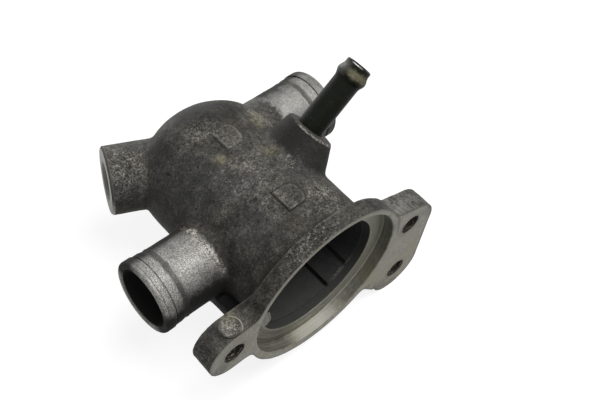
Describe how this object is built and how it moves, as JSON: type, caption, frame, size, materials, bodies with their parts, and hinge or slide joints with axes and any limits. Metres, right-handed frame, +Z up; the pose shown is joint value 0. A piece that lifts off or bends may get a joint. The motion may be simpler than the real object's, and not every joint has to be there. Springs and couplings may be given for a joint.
{
  "type": "thermostat housing",
  "caption": "Dark cast aluminium coolant housing with a pale machined flange, two brushed hose pipes, a sensor boss and a slanted black steel tube.",
  "frame": {"origin": "centre of the counterbore, on the machined flange face", "axes": "-Y out of the flange face, +Y along the bore to the dome, -X along the front hose pipe, +X along the rear hose pipe, +Z up to the casting pads"},
  "size_m": [0.1111, 0.097, 0.0918],
  "materials": {
    "cast_aluminium": "rough cast, oxidised, machined on the flange and brushed on the pipes",
    "black_steel": "black, worn at the tip"
  },
  "bodies": {
    "root": {"cast_housing": "cast_aluminium", "steel_tube": "black_steel"}
  },
  "joints": []
}
